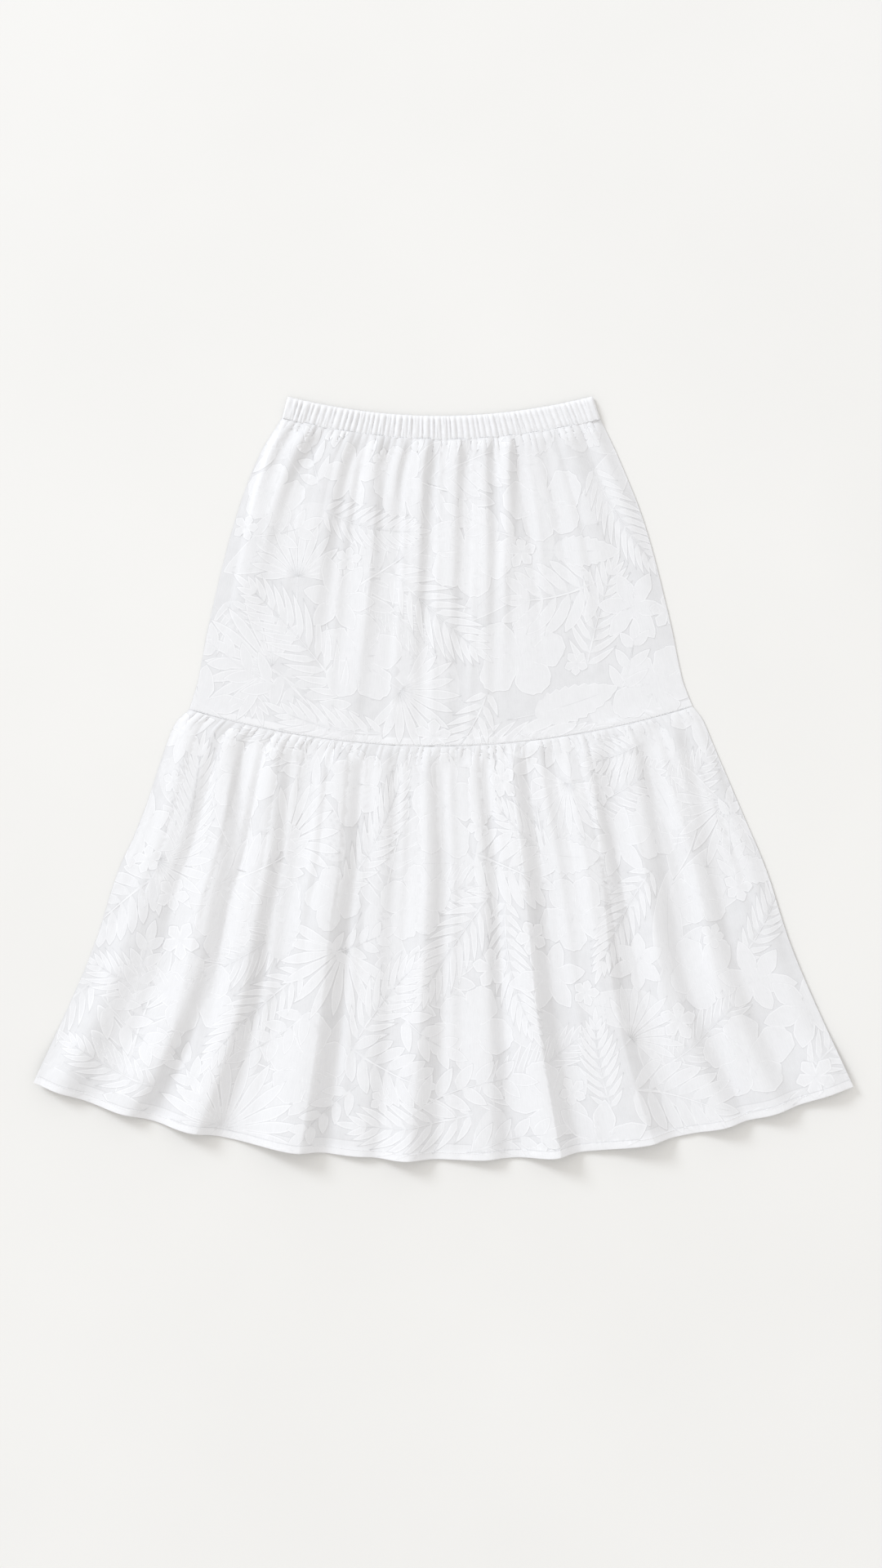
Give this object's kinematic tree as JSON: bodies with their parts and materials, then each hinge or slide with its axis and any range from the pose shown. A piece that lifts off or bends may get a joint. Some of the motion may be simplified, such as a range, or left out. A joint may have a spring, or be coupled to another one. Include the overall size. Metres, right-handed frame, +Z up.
{
  "type": "tiered ruffle skirt",
  "caption": "Midi skirt laid flat, with an elasticated gathered waistband, a plain upper tier and a wider gathered lower tier that ends in a narrow hem.",
  "frame": {"origin": "on the surface that the skirt lies on, under the middle of its outline", "axes": "+X across the skirt to the right as seen from above, +Y towards the waistband, +Z up from the surface"},
  "size_m": [0.921, 0.8595, 0.025],
  "materials": {
    "waistband_cloth": "soft white woven cloth, gathered over elastic",
    "tier_cloth": "white burnout cloth: opaque soft leaves and flowers on a finer, slightly sheer ground"
  },
  "bodies": {
    "root": {"waistband_front": "waistband_cloth", "waistband_back": "waistband_cloth", "upper_tier_front": "tier_cloth", "upper_tier_back": "tier_cloth", "lower_tier_front": "tier_cloth", "lower_tier_back": "tier_cloth"}
  },
  "joints": []
}
